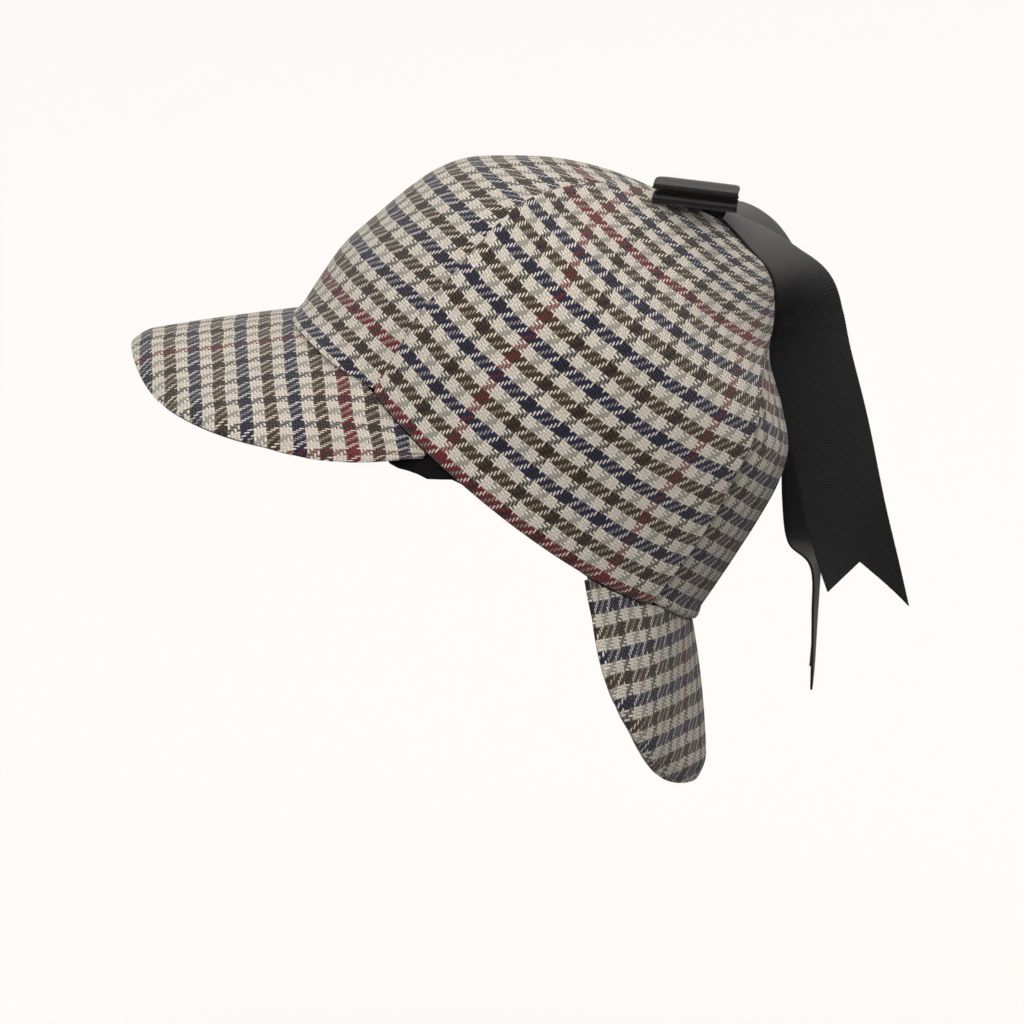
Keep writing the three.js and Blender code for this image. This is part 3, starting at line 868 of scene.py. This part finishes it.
knot_at = Matrix.Translation(BOW_AT - Vector((0, 0, KNOT_DROP)))
knot_placed = METRES @ knot_at @ Matrix.Rotation(KNOT_TILT, 4, "Y")
knot_build = bmesh.new()
bmesh.ops.create_cube(knot_build, size=2)
bmesh.ops.subdivide_edges(knot_build, edges=knot_build.edges, cuts=KNOT_CUTS, use_grid_fill=True)
knot_threads = knot_build.loops.layers.uv.new("threads")
for corner in knot_build.verts:
    x, y, z = corner.co
    crease = KNOT_CREASE * (1 + math.cos(5 * math.pi * y + 2 * x)) / 2
    waist = 1 - KNOT_WAIST * math.cos(math.pi * y / 2) - crease
    shaped = Vector((x * waist * knot_pull(y, z), y * knot_pull(x, z), z * waist * knot_pull(x, y)))
    corner.co = Vector(a * b / 2 for a, b in zip(KNOT_SIZE, shaped))
for face in knot_build.faces:
    face.smooth = True
    for loop in face.loops:
        round_knot = math.atan2(loop.vert.co.z, loop.vert.co.x) * KNOT_SIZE.x / 2
        loop[knot_threads].uv = (loop.vert.co.y / RIB_PITCH, round_knot / RIB_PITCH)
bmesh.ops.transform(knot_build, matrix=knot_placed, verts=knot_build.verts)
knot_mesh = bpy.data.meshes.new("bow_knot_ribbon")
knot_build.to_mesh(knot_mesh)
knot_build.free()
knot = bpy.data.objects.new("bow_knot_ribbon", knot_mesh)
bpy.context.collection.objects.link(knot)
dress(knot, "bow_knot", grosgrain)

# Tails: the two ends of the ribbon, which hang from the knot down behind the hat and twist as they
# fall. Both are cut to a notch.
TAIL_GRID = (16, 220)
TAIL_CUP = 1.1
TAIL_DROOP = 3
TAIL_TUCK = 1.6
TAIL_OPENS = 4
TailStop = namedtuple("TailStop", "x y z turn")
TailCut = namedtuple("TailCut", "near notch far")
TAILS = {
    "ribbon_tail_left": (
        [
            TailStop(92.1, -2.4, 102.6, 4),
            TailStop(100.5, -0.6, 96.3, 10),
            TailStop(108.8, 6, 89.6, 15),
            TailStop(117.8, 10, 79.9, 28),
            TailStop(125, 13, 68.5, 50),
            TailStop(127.2, 15, 56, 62),
            TailStop(129, 15, 41, 72),
            TailStop(135.8, 13, 12, 78),
            TailStop(144, 9, -27, 78),
            TailStop(155.5, 6, -66, 60),
        ],
        TailCut(17.5, 25, 0),
    ),
    "ribbon_tail_right": (
        [
            TailStop(92.8, 8.7, 105, 0),
            TailStop(98, 24, 102.6, 6),
            TailStop(104.5, 38, 96.3, 18),
            TailStop(111.5, 46, 88, 26),
            TailStop(118, 48, 78, 27),
            TailStop(123.5, 47, 68, 24),
            TailStop(126.2, 44, 45, 36),
            TailStop(129.5, 41, 10, 44),
            TailStop(131, 38, -17, 50),
            TailStop(132.8, 36, -35, 48),
            TailStop(133.2, 36, -46, 13),
            TailStop(132.4, 36, -67, 7),
            TailStop(131, 36, -98, 3),
        ],
        TailCut(0, 14, 4),
    ),
}

for name, (stops, cut) in TAILS.items():

    def tail_point(share):
        stop = read_rows(stops, share)
        return Vector((stop.x, stop.y, stop.z))

    fine = 600
    tail_line = [tail_point(step / fine) for step in range(fine + 1)]
    tail_runs = [0.0]
    for before, after in zip(tail_line, tail_line[1:]):
        tail_runs.append(tail_runs[-1] + (after - before).length)

    def share_at(distance):
        low, high = 0, fine
        while high - low > 1:
            half = (low + high) // 2
            low, high = (half, high) if tail_runs[half] <= distance else (low, half)
        return (low + clamp((distance - tail_runs[low]) / (tail_runs[high] - tail_runs[low]))) / fine

    def end_cut(u):
        return lerp(cut.near, cut.notch, 2 * u) if u < 0.5 else lerp(cut.notch, cut.far, 2 * u - 1)

    def tail_place(u, v):
        distance = v * (tail_runs[-1] - end_cut(u))
        share = share_at(distance)
        along = tail_point(min(share + TINY, 1)) - tail_point(max(share - TINY, 0))
        along.y = 0
        along.normalize()
        raised = Vector((-along.z, 0, along.x))
        turn = math.radians(read_rows(stops, share).turn)
        across = Vector((0, math.cos(turn), 0)) + math.sin(turn) * raised
        normal = along.cross(across)
        cup = TAIL_CUP * (1 - (2 * u - 1) ** 2) * smoothstep(distance, 10, 50)
        droop = TAIL_DROOP * (1 - u) ** 2 * (1 - smoothstep(distance, 16, 42))
        tuck = TAIL_TUCK * (1 - u) * smoothstep(distance, 28, 42) * (1 - smoothstep(distance, 85, 125))
        offset = (u - 0.5) * ribbon_width(distance + TAIL_OPENS) - tuck
        point = tail_point(share) + offset * across + (cup - droop - 0.5 * RIBBON_CLOTH) * normal
        return METRES @ point, ((u - 0.5) * RIBBON_WIDTH / RIB_PITCH, distance / RIB_PITCH)

    piece = cloth_sheet(name + "_ribbon", TAIL_GRID, tail_place, RIBBON_CLOTH, 0.3)
    dress(piece, name, grosgrain)
